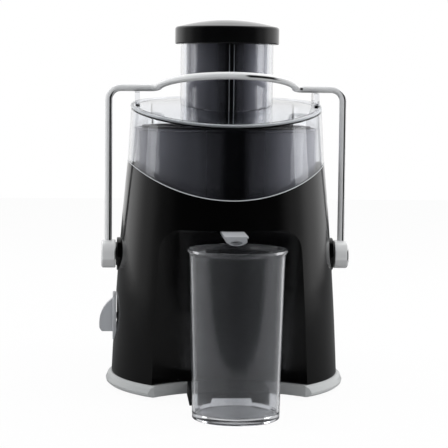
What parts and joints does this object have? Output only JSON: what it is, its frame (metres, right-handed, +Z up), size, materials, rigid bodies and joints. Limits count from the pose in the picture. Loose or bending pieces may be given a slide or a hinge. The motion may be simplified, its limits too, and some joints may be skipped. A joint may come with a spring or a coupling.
{
  "type": "centrifugal juicer",
  "caption": "Centrifugal juicer: round housing with motor and strainer, clear lid with feed chute and pusher, locking bail, juice cup and rear pulp bin.",
  "frame": {"origin": "on the table, under the motor's axis and at the centre of the whole juicer's box", "axes": "+Z up, -Y to the front where the cup stands, +X to the right"},
  "size_m": [0.2261, 0.3742, 0.33],
  "materials": {
    "black_gloss": "high gloss black ABS",
    "black_matte": "fine matt black plastic",
    "silver": "satin silver paint on plastic",
    "grey_plastic": "light grey satin plastic",
    "natural_plastic": "natural nylon",
    "rubber": "moulded",
    "steel": "machined or zinc plated",
    "core_steel": "stacked laminations, varnished",
    "strainer_steel": "stainless, etched mesh",
    "chrome": "polished",
    "copper": "enamelled copper winding",
    "carbon": "pressed carbon",
    "clear": "clear polished plastic",
    "smoke": "dark smoke tinted plastic",
    "smoke_cup": "light smoke tinted plastic"
  },
  "bodies": {
    "root": {"housing_shell": "black_gloss", "cord_gland": "rubber", "base_trim": "silver", "base_plate": "black_matte", "front_foot": "black_matte", "rubber_pads": "rubber", "deck_posts": "black_matte", "base_screws": "steel", "motor_deck": "black_matte", "shaft_seal": "rubber", "lower_motor_bell": "steel", "upper_motor_bell": "steel", "lower_bearing": "steel", "upper_bearing": "steel", "motor_core": "core_steel", "field_coils": "copper", "carbon_brushes": "carbon", "brush_holders": "natural_plastic", "motor_mounts": "rubber", "juice_bowl": "smoke", "juice_spout": "grey_plastic", "lid": "clear", "left_pivot_boss": "black_gloss", "right_pivot_boss": "black_gloss", "pivot_pins": "steel", "knob_dish": "black_matte", "rotary_switch": "black_matte", "interlock_switch": "black_matte"},
    "spinner": {"motor_shaft": "steel", "armature": "core_steel", "commutator": "copper", "cooling_fan": "natural_plastic", "drive_coupling": "black_matte", "basket_frame": "black_gloss", "filter_mesh": "strainer_steel", "grater_disc": "strainer_steel", "basket_cap": "black_matte"},
    "bail": {"bail_rod": "chrome", "left_pivot_barrel": "chrome", "right_pivot_barrel": "chrome"},
    "knob": {"control_knob": "grey_plastic"},
    "pusher": {"pusher_tube": "smoke", "pusher_cap": "black_gloss"},
    "cup": {"juice_cup": "smoke_cup"},
    "bin": {"pulp_bin": "smoke"}
  },
  "joints": [
    {"name": "strainer_spin", "type": "hinge", "parent": "root", "child": "spinner", "pos_m": [0, 0, 0.15], "axis": [0, 0, 1], "continuous": true},
    {"name": "bail_swing", "type": "hinge", "parent": "root", "child": "bail", "pos_m": [0, 0, 0.119], "axis": [1, 0, 0], "range_deg": [0, 60]},
    {"name": "knob_turn", "type": "hinge", "parent": "root", "child": "knob", "pos_m": [-0.1, 0, 0.0625], "axis": [-1, 0, 0], "range_deg": [-40, 80]},
    {"name": "pusher_lift", "type": "slide", "parent": "root", "child": "pusher", "axis": [0, 0, 1], "range_m": [0, 0.1]},
    {"name": "cup_slide", "type": "slide", "parent": "root", "child": "cup", "axis": [0, -1, 0], "range_m": [0, 0.1]},
    {"name": "bin_slide", "type": "slide", "parent": "root", "child": "bin", "axis": [0, 1, 0], "range_m": [0, 0.12]}
  ]
}
